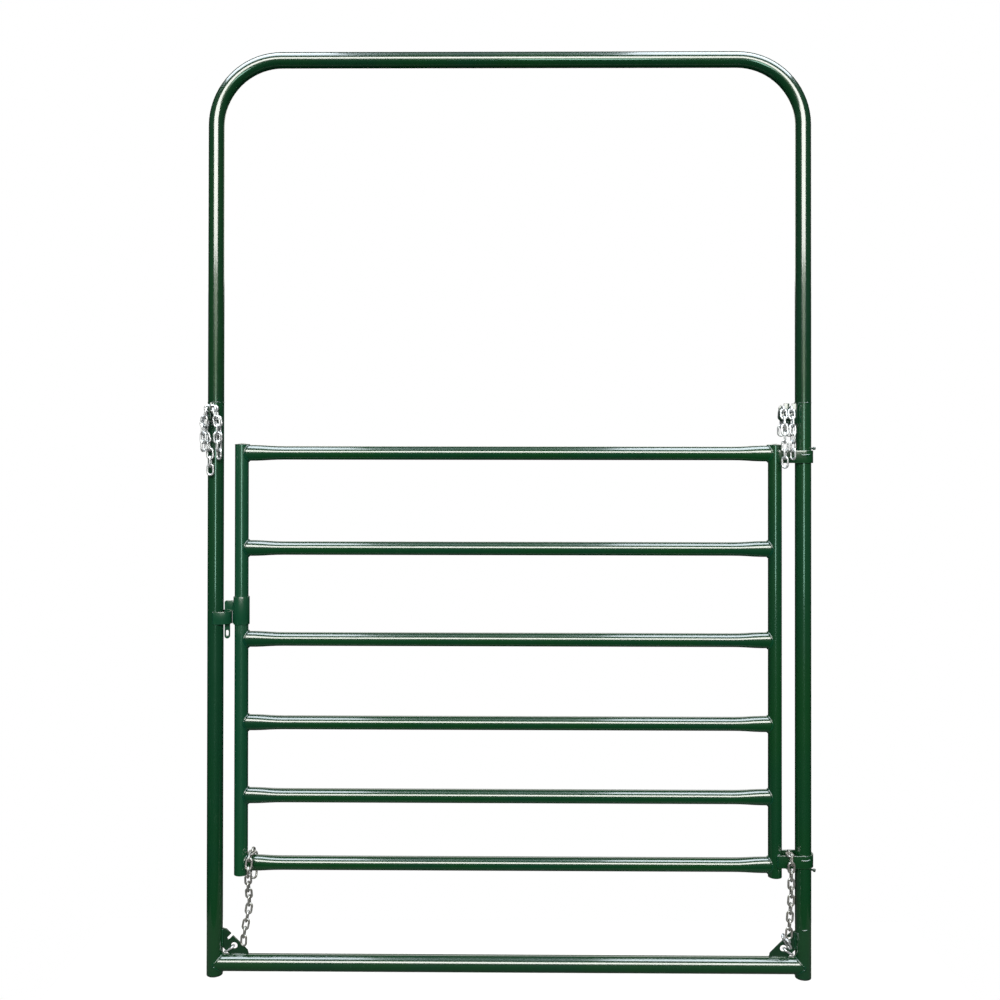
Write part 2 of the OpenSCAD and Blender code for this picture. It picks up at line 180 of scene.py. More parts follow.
class Graph:
    """The node tree of a finish, of the floor or of the studio's world."""

    def __init__(self, owner: bpy.types.Material | bpy.types.World) -> None:
        """Empties a node tree to write in.

        Args:
            owner: The material or world that the tree belongs to.
        """
        owner.use_nodes = True
        self.tree = owner.node_tree
        self.tree.nodes.clear()

    def add(
        self,
        kind: str,
        inputs: dict[str | int, object] | None = None,
        output: str | int = 0,
        **settings: object,
    ) -> Signal:
        """Adds a node, sets it, then fills its sockets.

        Args:
            kind: The node's type.
            inputs: Values or signals for its input sockets.
            output: The output socket to hand back.
            **settings: The node's own settings.

        Returns:
            That output.
        """
        node = self.tree.nodes.new(kind)
        for key, value in settings.items():
            setattr(node, key, value)
        for key, value in (inputs or {}).items():
            if isinstance(value, Signal):
                self.tree.links.new(value.socket, node.inputs[key])
            else:
                node.inputs[key].default_value = value
        return Signal(self, node.outputs[output] if len(node.outputs) else None)

    def place(self) -> Signal:
        """The point on the piece, in metres."""
        return self.add("ShaderNodeTexCoord", output="Object")

    def noise(self, point: Signal, grain: Grain) -> Signal:
        """A grain's noise at a point.

        Args:
            point: Where it is read.
            grain: The pattern.

        Returns:
            The noise, round 0.5.
        """
        if grain.stretch:
            point = self.add(
                "ShaderNodeVectorMath", {0: point, 1: grain.stretch}, operation="MULTIPLY"
            )
        look = {"Scale": grain.scale, "Detail": grain.detail, "Roughness": grain.rough}
        return self.add("ShaderNodeTexNoise", {"Vector": point, **look}, output="Fac")

    def marks(self, point: Signal, grain: Grain) -> Signal:
        """The marks that a grain leaves at a point.

        Args:
            point: Where it is read.
            grain: The pattern.

        Returns:
            The mask, from 0 to the grain's share.
        """
        mask = self.noise(point, grain).ramp(*grain.span)
        return mask if grain.share == 1.0 else mask * grain.share

    def tint(self, mask: Signal, low: object, high: object) -> Signal:
        """A colour between two others.

        Args:
            mask: 0 for the first colour, 1 for the second.
            low: The first colour.
            high: The second colour.

        Returns:
            The mixed colour.
        """
        return self.add(
            "ShaderNodeMix", {0: mask, 6: low, 7: high}, 2, data_type="RGBA", clamp_factor=True
        )

    def bump(
        self, height: Signal, depth: float, strength: float = 1.0, under: Signal | None = None
    ) -> Signal:
        """A normal from a height.

        Args:
            height: The height, 0 to 1.
            depth: The real height of 1, in metres.
            strength: How much of it shows.
            under: The normal that it lies on, where there is one.

        Returns:
            The normal.
        """
        inputs = {"Strength": strength, "Distance": depth, "Height": height}
        if under is not None:
            inputs["Normal"] = under
        return self.add("ShaderNodeBump", inputs)

    def near_height(self, point: Signal, z: float, reach: float) -> Signal:
        """A mask that is 1 at a height and fades over a reach above and below.

        Args:
            point: The point on the piece.
            z: The height.
            reach: Where the mask is gone.

        Returns:
            The mask.
        """
        height = self.add("ShaderNodeSeparateXYZ", {0: point}, "Z")
        away = self.add("ShaderNodeMath", {0: height - z}, operation="ABSOLUTE")
        return 1 - away.ramp(0.0, reach)


# ---- finishes


def linear(tone: Tone) -> Colour:
    """A screen colour as light, by the sRGB curve.

    Args:
        tone: Red, green and blue, 0 to 255.

    Returns:
        The linear colour with an alpha of 1.
    """
    parts = [part / 255 for part in tone]
    flat = [p / 12.92 if p <= 0.04045 else ((p + 0.055) / 1.055) ** 2.4 for p in parts]
    return (*flat, 1.0)


@dataclass(frozen=True)
class Finish:
    """A surface finish, made once and shared by the pieces that wear it."""

    name: str
    slot: Slot

    def surface(self, graph: Graph) -> dict[str, object]:
        """Writes the surface.

        Args:
            graph: The finish's node tree.

        Returns:
            The shader's inputs.
        """
        raise NotImplementedError

    def material(self) -> bpy.types.Material:
        """The finish's material, built on first use."""
        made = bpy.data.materials.get(self.name)
        if made is None:
            made = bpy.data.materials.new(self.name)
            graph = Graph(made)
            shader = graph.add("ShaderNodeBsdfPrincipled", self.surface(graph))
            graph.add("ShaderNodeOutputMaterial", {"Surface": shader})
        return made

    def dress(self, piece: bpy.types.Object) -> None:
        """Puts the finish on a piece or on a fixed solid.

        Args:
            piece: The object.
        """
        piece.data.materials.clear()
        piece.data.materials.append(self.material())
        "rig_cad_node" not in piece.keys()


DRIFT = Grain(3.2, 3.0, stretch=(1.0, 1.0, 0.55), span=(0.36, 0.66))
RUNS = Grain(1.0, 2.0, 0.6, stretch=(70.0, 70.0, 1.6), span=(0.55, 0.8), share=0.22)
DUST = Grain(950.0, 1.0, span=(0.74, 0.80), share=0.16)
SCRATCH = Grain(1.0, 1.0, stretch=(900.0, 900.0, 26.0), span=(0.66, 0.72), share=0.4)
WORN_SCRATCH = Grain(span=(0.50, 0.62), share=0.5)
HANDLED = Grain(7.0, span=(0.56, 0.7))
PEEL = Grain(420.0, 2.0, 0.45, share=0.6)
WAVES = Grain(1.0, 1.0, stretch=(60.0, 60.0, 9.0), share=0.9)
RUN_RELIEF = 0.4
SPATTER = Grain(620.0, 3.0, 0.7, share=0.7)
SHEEN_DRIFT = Grain(16.0, 3.0, share=0.10)


@dataclass(frozen=True)
class GlossEnamel(Finish):
    """Baked gloss enamel over steel: a deep green with a wet skin, a faint peel, long
    waves from the drawn tube, thin runs and a few fine rub marks."""

    slot: Slot = Slot.PAINT
    deep: Tone = (13, 61, 28)
    cool: Tone = (11, 58, 35)
    run: Tone = (4, 34, 20)
    dust: Tone = (92, 122, 104)
    rub: Tone = (58, 96, 74)
    roughness: float = 0.24
    rub_roughness: float = 0.35
    peel: float = 0.04 * MM
    spatter: float = 0.0
    rub_heights: tuple[Pair, ...] = ()
    ior: float = 1.5
    coat_ior: float = 1.6
    coat_roughness: float = 0.09

    def surface(self, graph: Graph) -> dict[str, object]:
        """Writes the enamel.

        Args:
            graph: The finish's node tree.

        Returns:
            The shader's inputs.
        """
        point = graph.place()
        colour = graph.tint(graph.marks(point, DRIFT), linear(self.deep), linear(self.cool))
        runs = graph.noise(point, RUNS)
        colour = graph.tint(runs.ramp(*RUNS.span) * RUNS.share, colour, linear(self.run))
        colour = graph.tint(graph.marks(point, DUST), colour, linear(self.dust))
        scratch = graph.noise(point, SCRATCH)
        rubbed = scratch.ramp(*SCRATCH.span) * graph.marks(point, HANDLED) * SCRATCH.share
        for height, reach in self.rub_heights:
            band = graph.near_height(point, height, reach)
            worn = scratch.ramp(*WORN_SCRATCH.span)
            rubbed = rubbed + band * worn * WORN_SCRATCH.share
        colour = graph.tint(rubbed, colour, linear(self.rub))
        peel = graph.noise(point, PEEL)
        waves = graph.noise(point, WAVES)
        relief = peel * PEEL.share + waves * WAVES.share + runs * RUN_RELIEF
        normal = graph.bump(relief, self.peel)
        if self.spatter:
            drops = graph.noise(point, SPATTER)
            normal = graph.bump(drops, self.spatter, SPATTER.share, normal)
        sheen = SHEEN_DRIFT.share * graph.noise(point, SHEEN_DRIFT)
        rough = self.roughness + sheen + rubbed * self.rub_roughness - SHEEN_DRIFT.share / 2
        return {
            "Base Color": colour,
            "Roughness": rough,
            "IOR": self.ior,
            "Coat Weight": 1.0,
            "Coat Roughness": self.coat_roughness,
            "Coat IOR": self.coat_ior,
            "Normal": normal,
        }


BLOOM = Grain(60.0, 4.0, 0.6, span=(0.35, 0.68), share=0.16)
SPANGLE = Grain(420.0, span=(0.80, 1.0), share=0.5)
STAIN = Grain(130.0, 3.0, span=(0.42, 0.70))
PITS = Grain(700.0, 2.0)


@dataclass(frozen=True)
class BrightZinc(Finish):
    """Bright zinc plating on chain: silver with a milky bloom, dull spots and grime."""

    slot: Slot = Slot.ZINC
    silver: Tone = (244, 246, 247)
    bloom: Tone = (216, 220, 223)
    spot: Tone = (150, 156, 160)
    grime: Tone = (112, 108, 96)
    grimy: float = 0.35
    metallic: float = 0.86
    metallic_lost: float = 0.4
    roughness: float = 0.27
    spot_roughness: float = 0.10
    spot_relief: float = 0.35
    pit_depth: float = 0.05 * MM

    def surface(self, graph: Graph) -> dict[str, object]:
        """Writes the plating.

        Args:
            graph: The finish's node tree.

        Returns:
            The shader's inputs.
        """
        point = graph.place()
        bloom = graph.noise(point, BLOOM)
        cells = {"Vector": point, "Scale": SPANGLE.scale}
        flakes = graph.add("ShaderNodeTexVoronoi", cells, "Color")
        spots = graph.add("ShaderNodeSeparateColor", {0: flakes})
        milky = bloom.ramp(*BLOOM.span)
        colour = graph.tint(milky, linear(self.silver), linear(self.bloom))
        dull = spots.ramp(*SPANGLE.span) * SPANGLE.share
        colour = graph.tint(dull, colour, linear(self.spot))
        stain = graph.marks(point, STAIN) * self.grimy
        colour = graph.tint(stain, colour, linear(self.grime))
        relief = graph.noise(point, PITS) + spots * self.spot_relief
        return {
            "Base Color": colour,
            "Metallic": self.metallic - stain * self.metallic_lost,
            "Roughness": self.roughness + BLOOM.share * bloom + self.spot_roughness * spots,
            "Normal": graph.bump(relief, self.pit_depth),
        }


SCUFF = Grain(90.0, 3.0, 0.6, stretch=(1.0, 1.0, 4.0), span=(0.52, 0.75), share=0.22)
MOULD_GRAIN = Grain(2400.0, 2.0)


@dataclass(frozen=True)
class BlackPlug(Finish):
    """Moulded black plastic with a fine grain and chalky scuffs on the rim."""

    slot: Slot = Slot.PLUG
    plastic: Tone = (18, 20, 20)
    chalk: Tone = (44, 46, 45)
    roughness: float = 0.48
    grain_depth: float = 0.06 * MM

    def surface(self, graph: Graph) -> dict[str, object]:
        """Writes the plastic.

        Args:
            graph: The finish's node tree.

        Returns:
            The shader's inputs.
        """
        point = graph.place()
        scuff = graph.noise(point, SCUFF)
        chalky = scuff.ramp(*SCUFF.span)
        colour = graph.tint(chalky, linear(self.plastic), linear(self.chalk))
        grain = graph.noise(point, MOULD_GRAIN)
        return {
            "Base Color": colour,
            "Roughness": self.roughness + SCUFF.share * scuff,
            "Normal": graph.bump(grain, self.grain_depth),
        }


TUBE_PAINT = GlossEnamel("enamel_tube")
# Painted shade: a darker copy of the tube enamel on the bow.
SHADED_BOW_PAINT = GlossEnamel("enamel_bow_shaded", deep=(11, 54, 24), cool=(9, 51, 30))
# Painted shade: a darker copy of the tube enamel, which darkens the gussets in the lower corners,
# the chain brackets behind the chains, the stile bottom caps and the stop bolts.
SHADED_PLATE_PAINT = GlossEnamel(
    "enamel_plate_shaded", deep=(9, 51, 27), cool=(7, 47, 32), roughness=0.3, peel=0.05 * MM
)
# Painted highlight: a lighter, bluer green than the tube enamel, which stands in for glints on the
# weld beads; the spatter is a real bump.
LIT_WELD_PAINT = GlossEnamel(
    "enamel_weld_lit",
    deep=(12, 66, 37),
    cool=(9, 60, 42),
    roughness=0.16,
    peel=0.05 * MM,
    spatter=0.3 * MM,
)
# Painted light: a lighter copy of the tube enamel on the latch stile, sleeve, plate and keeper;
# the rubbed bands are real wear.
LIT_LATCH_PAINT = GlossEnamel(
    "enamel_latch_lit",
    deep=(14, 72, 38),
    cool=(12, 68, 44),
    roughness=0.3,
    peel=0.05 * MM,
    rub_heights=((1.05, 0.03), (1.145, 0.012)),
)
HINGE_PAINT = GlossEnamel(
    "enamel_hinge",
    roughness=0.28,
    peel=0.05 * MM,
    rub_heights=((0.3365, 0.004), (0.3745, 0.004), (1.5525, 0.004), (1.5905, 0.004)),
)
CHAIN_ZINC = BrightZinc("bright_zinc")
DULL_ZINC = BrightZinc("dull_zinc", silver=(214, 214, 211), bloom=(176, 175, 169), grimy=0.7)
FOOT_PLASTIC = BlackPlug("moulded_black")


# ---- modelling by operator


def deselect() -> None:
    """Leaves nothing selected."""
    bpy.ops.object.select_all(action="DESELECT")


def pick(piece: bpy.types.Object) -> None:
    """Selects one object and makes it active.

    Args:
        piece: The object.
    """
    deselect()
    piece.select_set(True)
    bpy.context.view_layer.objects.active = piece


def bake() -> None:
    """Puts the selected object's place, turn and size into its mesh."""
    bpy.ops.object.transform_apply(location=True, rotation=True, scale=True)


@contextmanager
def editing(piece: bpy.types.Object, whole: bool = True) -> Iterator[None]:
    """Opens a piece's mesh for the edit operators, and shuts it again.

    Args:
        piece: The object.
        whole: Whether all of the mesh is selected first.

    Yields:
        Nothing.
    """
    pick(piece)
    bpy.ops.object.mode_set(mode="EDIT")
    if whole:
        bpy.ops.mesh.select_all(action="SELECT")
    yield
    bpy.ops.object.mode_set(mode="OBJECT")


def join(parts: list[bpy.types.Object], name: str) -> bpy.types.Object:
    """Joins parts into the first of them.

    Args:
        parts: The objects.
        name: The joined object's name.

    Returns:
        The joined object.
    """
    pick(parts[0])
    for part in parts[1:]:
        part.select_set(True)
    if len(parts) > 1:
        bpy.ops.object.join()
    parts[0].name = parts[0].data.name = name
    return parts[0]


def unmark(mesh: bpy.types.Mesh) -> None:
    """Leaves no point, edge or face of a mesh selected.

    Args:
        mesh: The mesh.
    """
    for item in (*mesh.vertices, *mesh.edges, *mesh.polygons):
        item.select = False


def apply_modifier(piece: bpy.types.Object, kind: str, **settings: object) -> None:
    """Adds a modifier and applies it.

    Args:
        piece: The object.
        kind: The modifier's type.
        **settings: Its settings.
    """
    pick(piece)
    modifier = piece.modifiers.new(kind.title(), kind)
    for key, value in settings.items():
        setattr(modifier, key, value)
    bpy.ops.object.modifier_apply(modifier=modifier.name)


def smooth(piece: bpy.types.Object, angle: float = SMOOTH_ANGLE) -> None:
    """Shades a piece smooth up to an angle.

    Args:
        piece: The object.
        angle: Edges sharper than this stay sharp, in radians.
    """
    pick(piece)
    bpy.ops.object.shade_smooth_by_angle(angle=angle)


def settle(piece: bpy.types.Object, body: Body, finish: Finish) -> None:
    """Finishes a piece: its place goes into its mesh, then it is dressed and rides.

    Args:
        piece: The object.
        body: The body that carries it.
        finish: What it wears.
    """
    pick(piece)
    bake()
    finish.dress(piece)
    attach(piece, body.value)
    LOG.info("%-34s %-6s %6d faces", piece.name, body.value, len(piece.data.polygons))


def solid_copy(node: str, name: str) -> bpy.types.Object:
    """A copy of a fixed solid's mesh with its loose triangles merged.

    Args:
        node: The solid's name.
        name: The copy's name.

    Returns:
        The copy, riding on nothing yet.
    """
    source = frame["nodes"][node]
    piece = bpy.data.objects.new(name, source.data.copy())
    piece.data.name = name
    bpy.context.scene.collection.objects.link(piece)
    pick(piece)
    if piece.data.has_custom_normals:
        bpy.ops.mesh.customdata_custom_splitnormals_clear()
    with editing(piece):
        bpy.ops.mesh.remove_doubles(threshold=MERGE_GAP)
    return piece


@dataclass
class Tube:
    """A tube of the gate: the fixed solid's shape with a smooth round skin."""

    node: str
    body: Body
    finish: Finish = TUBE_PAINT

    def build(self) -> None:
        """Makes the tube and stands it in for its solid."""
        piece = solid_copy(self.node, f"{self.node}_skin")
        with editing(piece):
            bpy.ops.mesh.tris_convert_to_quads(
                face_threshold=QUAD_TURN, shape_threshold=QUAD_TURN
            )
        smooth(piece)
        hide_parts(self.node)
        settle(piece, self.body, self.finish)


@dataclass
class Plate:
    """A cut or bent plate: the fixed solid's shape with its edges broken."""

    node: str
    body: Body
    # Plates wear the darker, painted-shade copy of the enamel unless given another finish.
    finish: Finish = SHADED_PLATE_PAINT
    edge: float = 0.9 * MM
    segments: int = 2

    def build(self) -> None:
        """Makes the plate and stands it in for its solid."""
        piece = solid_copy(self.node, f"{self.node}_plate")
        with editing(piece):
            bpy.ops.mesh.dissolve_limited(angle_limit=FLAT_ANGLE)
        cut = {"width": self.edge, "segments": self.segments, "use_clamp_overlap": True}
        apply_modifier(piece, "BEVEL", limit_method="ANGLE", angle_limit=EDGE_ANGLE, **cut)
        smooth(piece)
        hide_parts(self.node)
        settle(piece, self.body, self.finish)


# ---- welds


@dataclass
class Bead:
    """A run of weld: a rippled bar that is laid along a path."""

    path: list[Vector]
    radius: float
    closed: bool = False
    ripple: float = 2.6 * MM
    swell: float = 1.26
    taper: float = 0.35
    end_zone: float = 0.01
    sides: int = 8
    least_cuts: int = 4
    close_gap: float = 0.6 * MM
    smooth_angle: float = math.radians(70)

    def lay(self, name: str) -> bpy.types.Object:
        """Makes the bead where its path runs.

        Args:
            name: The object's name.

        Returns:
            The bead, riding on nothing yet.
        """
        points = self.path + ([self.path[0]] if self.closed else [])
        length = sum((b - a).length for a, b in zip(points, points[1:]))
        cuts = max(self.least_cuts, 2 * round(length / self.ripple / 2))
        deselect()
        bpy.ops.mesh.primitive_cylinder_add(
            vertices=self.sides,
            radius=self.radius,
            depth=length,
            end_fill_type="NOTHING" if self.closed else "NGON",
            location=(length / 2, 0, 0),
            rotation=(0, math.pi / 2, 0),
        )
        bar = bpy.context.object
        bar.name = bar.data.name = name
        bake()
        self._ripple(bar, length, cuts)
        self._bend(bar, points)
        if self.closed:
            with editing(bar):
                bpy.ops.mesh.remove_doubles(threshold=self.close_gap)
                bpy.ops.mesh.normals_make_consistent(inside=False)
        smooth(bar, self.smooth_angle)
        return bar

    def _ripple(self, bar: bpy.types.Object, length: float, cuts: int) -> None:
        """Cuts the bar into short rings, swells every other one and tapers its ends.

        Args:
            bar: The straight bar along X.
            length: Its length.
            cuts: How many cuts are made along it.
        """
        mesh = bar.data
        middle = (length / 2, 0, 0)
        unmark(mesh)
        for edge in mesh.edges:
            a, b = (mesh.vertices[v].co for v in edge.vertices)
            edge.select = abs(a.x - b.x) > length / 2
        bpy.context.tool_settings.mesh_select_mode = (False, True, False)
        with editing(bar, whole=False):
            bpy.ops.mesh.subdivide(number_cuts=cuts - 1)
            bpy.ops.mesh.select_mode(type="VERT")
            bpy.ops.mesh.select_all(action="DESELECT")
        for vertex in mesh.vertices:
            ring = round(vertex.co.x / length * cuts)
            vertex.select = ring % 2 == 1
        with editing(bar, whole=False):
            bpy.ops.transform.resize(value=(1, self.swell, self.swell), center_override=middle)
            bpy.ops.mesh.select_all(action="DESELECT")
        if not self.closed:
            low, high = length * self.end_zone, length * (1 - self.end_zone)
            for vertex in mesh.vertices:
                vertex.select = not low < vertex.co.x < high
            with editing(bar, whole=False):
                bpy.ops.transform.resize(
                    value=(1, self.taper, self.taper), center_override=middle
                )
        apply_modifier(bar, "SUBSURF", levels=1, render_levels=1)

    def _bend(self, bar: bpy.types.Object, points: list[Vector]) -> None:
        """Bends the bar along the path.

        Args:
            bar: The bar along X.
            points: The path's points.
        """
        guide = bpy.data.curves.new("weld_path", "CURVE")
        guide.dimensions = "3D"
        guide.twist_mode = "MINIMUM"
        spline = guide.splines.new("POLY")
        count = len(points) - (1 if self.closed else 0)
        spline.points.add(count - 1)
        for target, point in zip(spline.points, points):
            target.co = (*point, 1.0)
        spline.use_cyclic_u = self.closed
        path = bpy.data.objects.new("weld_path", guide)
        bpy.context.scene.collection.objects.link(path)
        apply_modifier(bar, "CURVE", object=path, deform_axis="POS_X")
        bpy.data.objects.remove(path)
        bpy.data.curves.remove(guide)


@dataclass
class WeldSet:
    """The beads of one joint, joined into one piece."""

    name: str
    body: Body
    beads: list[Bead]

    def build(self) -> None:
        """Lays the beads and joins them."""
        laid = [bead.lay(f"{self.name}_{i}") for i, bead in enumerate(self.beads)]
        settle(join(laid, self.name), self.body, LIT_WELD_PAINT)


RING_STEPS = 48
CAP_RING_STEPS = 40


def full_circle(steps: int) -> list[float]:
    """Turns once round.

    Args:
        steps: How many.

    Returns:
        The turns, in radians.
    """
    return [2 * math.pi * i / steps for i in range(steps)]


def fan(middle: int, half: int, step: int) -> list[float]:
    """Turns from one side of a direction to the other.

    Args:
        middle: The direction, in degrees.
        half: How far the fan opens to each side of it.
        step: The angle between two turns.

    Returns:
        The turns, in radians.
    """
    return [math.radians(middle + k) for k in range(-half, half + 1, step)]


def round_upright(x: float, radius: float, z: float, turns: list[float]) -> list[Vector]:
    """A level weld path round an upright.

    Args:
        x: The upright's axis.
        radius: The path's radius.
        z: Its height.
        turns: The directions of its points, in radians.

    Returns:
        The points.
    """
    return [Vector((x + radius * math.cos(a), radius * math.sin(a), z)) for a in turns]


def saddle(
    x: float, z: float, across: float, tall: float, stile: float, side: int
) -> list[Vector]:
    """The line where an oval tube along X meets a round upright.

    Args:
        x: The upright's axis.
        z: The tube's axis.
        across: The tube's half width along Y.
        tall: The tube's half height.
        stile: The upright's radius.
        side: 1 when the tube leaves towards +X, -1 towards -X.

    Returns:
        The points of the closed line.
    """
    line = []
    for turn in full_circle(RING_STEPS):
        y = min(max(across * math.sin(turn), -stile), stile)
        out = math.sqrt(max(stile**2 - y**2, 0.0))
        line.append(Vector((x + side * out, y, z + tall * math.cos(turn))))
    return line


def straight(start: Triple, end: Triple) -> list[Vector]:
    """A straight weld path.

    Args:
        start: One end.
        end: The other end.

    Returns:
        Five points along it.
    """
    a, b = Vector(start), Vector(end)
    return [a.lerp(b, i / 4) for i in range(5)]


# ---- the gate's assemblies


# The two ends of the gate, and which way along X the leaf lies from each post.
INWARD = {"latch": 1, "hinge": -1}


@dataclass
class Gate:
    """Sizes that the assemblies share, in metres."""

    post_x: dict[str, float] = field(default_factory=lambda: {"latch": -1.781, "hinge": 0.0})
    stile_x: dict[str, float] = field(
        default_factory=lambda: {"latch": -1.7018, "hinge": -0.085}
    )
    post_r: float = 0.02415
    sill_z: float = 0.036
    sill_r: float = 0.025
    seam_z: float = 1.734
    leaf_r: float = 0.02065
    rail_z: dict[str, float] = field(
        default_factory=lambda: {
            "bottom_rail": 0.338,
            "fifth_rail": 0.542,
            "fourth_rail": 0.763,
            "third_rail": 1.016,
            "second_rail": 1.292,
            "top_rail": 1.581,
        }
    )


@dataclass
class PostFrame:
    """The two posts, the bow over them, the sill between them and the foot plugs.

    A weld's off is how far its middle stands out from the steel, and its stops are how far
    it ends short of the joint.
    """

    gate: Gate
    plate_t: float = 0.006
    gusset_leg: float = 0.079
    gusset_clip: float = 0.022
    bracket_z: float = 1.672
    bracket_h: float = 0.060
    bracket_off: float = 0.017
    plug_edge: float = 0.7 * MM
    sill_bead: float = 3.2 * MM
    sill_off: float = 0.4 * MM
    plate_bead: float = 2.4 * MM
    gusset_off: float = 1.2 * MM
    gusset_post_off: float = 0.6 * MM
    upright_stops: Pair = (2 * MM, 2 * MM)
    level_stops: Pair = (3 * MM, 4 * MM)
    bracket_side_off: float = 1.0 * MM
    bracket_post_offs: Pair = (0.2 * MM, 0.3 * MM)
    bracket_stops: Pair = (2 * MM, 5 * MM)
    seam_bead: float = 0.9 * MM
    seam_off: float = 0.2 * MM
    seam_ripple: float = 2.2 * MM
    tack_bead: float = 2.2 * MM
    tack_ripple: float = 1.8 * MM
    tack_turns: tuple[int, ...] = (-70, 50, 170)
    tack_fan: tuple[int, int] = (14, 7)
    low_tack_z: float = 0.150
    low_tack_fan: tuple[int, int, int] = (-92, 26, 13)

    def build(self) -> None:
        """Builds the frame's pieces."""
        for node in ("latch_post", "hinge_post", "bow_tube", "bottom_sill"):
            Tube(node, Body.FRAME, SHADED_BOW_PAINT if node == "bow_tube" else TUBE_PAINT).build()
        for end in INWARD:
            Plate(f"{end}_post_foot_cap", Body.FRAME, FOOT_PLASTIC, edge=self.plug_edge).build()
        for kind in ("gusset", "chain_bracket"):
            for end in INWARD:
                Plate(f"{end}_side_{kind}", Body.FRAME).build()
        self.corner_welds()
        self.bracket_welds()
        self.seam_welds()

    def corner_welds(self) -> None:
        """Welds the sill to the posts and the corner plates to both."""
        g = self.gate
        top = g.sill_z + g.sill_r
        low = top + self.gusset_clip + self.upright_stops[0]
        high = top + self.gusset_leg - self.upright_stops[1]
        sill, post = g.sill_r + self.sill_off, g.post_r + self.sill_off
        out = self.plate_t / 2 + self.gusset_off
        for end, side in INWARD.items():
            x = g.post_x[end]
            ring = saddle(x, g.sill_z, g.sill_r, sill, post, side)
            beads = [Bead(ring, self.sill_bead, closed=True)]
            at_post = x + side * (g.post_r + self.gusset_post_off)
            near = x + side * (g.post_r + self.gusset_clip + self.level_stops[0])
            far = x + side * (g.post_r + self.gusset_leg - self.level_stops[1])
            for y in (-out, out):
                upright = straight((at_post, y, low), (at_post, y, high))
                level = straight((near, y, top), (far, y, top))
                beads += [Bead(upright, self.plate_bead), Bead(level, self.plate_bead)]
            WeldSet(f"{end}_side_corner_welds", Body.FRAME, beads).build()

    def bracket_welds(self) -> None:
        """Welds the chain brackets to the posts."""
        g = self.gate
        low = self.bracket_z + self.bracket_stops[0]
        high = self.bracket_z + self.bracket_h - self.bracket_stops[1]
        half = self.plate_t / 2 + self.bracket_side_off
        front_off, side_off = self.bracket_post_offs
        feet = {"latch": [], "hinge": []}
        for out in (-half, half):
            feet["latch"].append((g.post_x["latch"] + out, -g.post_r - front_off))
            y = -self.bracket_off + out
            feet["hinge"].append((-math.sqrt(g.post_r**2 - y**2) - side_off, y))
        for end in INWARD:
            paths = [straight((*foot, low), (*foot, high)) for foot in feet[end]]
            beads = [Bead(path, self.plate_bead) for path in paths]
            WeldSet(f"{end}_side_bracket_welds", Body.FRAME, beads).build()

    def seam_welds(self) -> None:
        """Puts the thin seams and the tacks under the bow, and one low on the hinge post."""
        g = self.gate
        r = g.post_r + self.seam_off
        for end, x in g.post_x.items():
            seam = round_upright(x, r, g.seam_z, full_circle(RING_STEPS))
            beads = [Bead(seam, self.seam_bead, closed=True, ripple=self.seam_ripple)]
            for turn in self.tack_turns:
                tack = round_upright(x, r, g.seam_z, fan(turn, *self.tack_fan))
                beads.append(Bead(tack, self.tack_bead, ripple=self.tack_ripple))
            if end == "hinge":
                tack = round_upright(x, r, self.low_tack_z, fan(*self.low_tack_fan))
                beads.append(Bead(tack, self.plate_bead))
            WeldSet(f"{end}_post_tack_welds", Body.FRAME, beads).build()


@dataclass
class StopBolt:
    """A stop bolt: a hex head with a chamfered crown and a washer face, on a shank."""

    gate: Gate
    name: str
    z: float
    d: float = 0.010
    turn: float = math.radians(-38)
    out: float = 0.014
    head: float = 4.5 * MM
    washer: float = 0.9 * MM
    washer_sides: int = 32
    root: float = 1.0 * MM
    shank_d: float = 0.006
    shank_sides: int = 24
    edge: float = 0.3 * MM
    washer_edge: float = 0.25 * MM
    crown_inset: float = 0.9 * MM
    crown_slope: Pair = (0.4 * MM, -0.25 * MM)
    smooth_angle: float = math.radians(30)

    def build(self) -> None:
        """Makes the bolt and stands it in for its solid."""
        tip = self.gate.post_r + self.out
        crown = self._rod(6, self.d / 2, self.head, tip)
        bake()
        self._chamfer(crown)
        tip -= self.head
        washer = self._rod(self.washer_sides, self.d / 2, self.washer, tip)
        apply_modifier(washer, "BEVEL", width=self.washer_edge, segments=2, limit_method="ANGLE")
        length = self.out - self.head
        shank = self._rod(self.shank_sides, self.shank_d / 2, length, tip - self.root)
        apply_modifier(shank, "BEVEL", width=self.edge, segments=1, limit_method="ANGLE")
        bolt = join([crown, washer, shank], f"{self.name}_hinge_stop_hex_bolt")
        bolt.data.transform(
            Matrix.Translation((0, 0, self.z))
            @ Matrix.Rotation(self.turn, 4, "Z")
            @ Matrix.Rotation(math.pi / 2, 4, "Y")
        )
        smooth(bolt, self.smooth_angle)
        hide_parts(f"{self.name}_hinge_stop_bolt")
        settle(bolt, Body.FRAME, SHADED_PLATE_PAINT)

    def _rod(self, sides: int, radius: float, length: float, top: float) -> bpy.types.Object:
        """Adds a rod along Z.

        Args:
            sides: How many sides it has.
            radius: Its radius.
            length: Its length.
            top: The height of its upper end.

        Returns:
            The rod.
        """
        deselect()
        bpy.ops.mesh.primitive_cylinder_add(
            vertices=sides, radius=radius, depth=length, location=(0, 0, top - length / 2)
        )
        return bpy.context.object

    def _chamfer(self, crown: bpy.types.Object) -> None:
        """Insets and lowers the rim of a bolt head's outer face, then breaks its edges.

        Args:
            crown: The hexagonal head along Z.
        """
        mesh = crown.data
        top = max(v.co.z for v in mesh.vertices)
        unmark(mesh)
        for face in mesh.polygons:
            face.select = face.normal.z > 0 and face.center.z > top - MERGE_GAP
        thickness, depth = self.crown_slope
        with editing(crown, whole=False):
            bpy.ops.mesh.select_mode(type="FACE")
            bpy.ops.mesh.inset(thickness=self.crown_inset, depth=0.0)
            bpy.ops.mesh.inset(thickness=thickness, depth=depth)
        apply_modifier(crown, "BEVEL", width=self.edge, segments=2, limit_method="ANGLE")


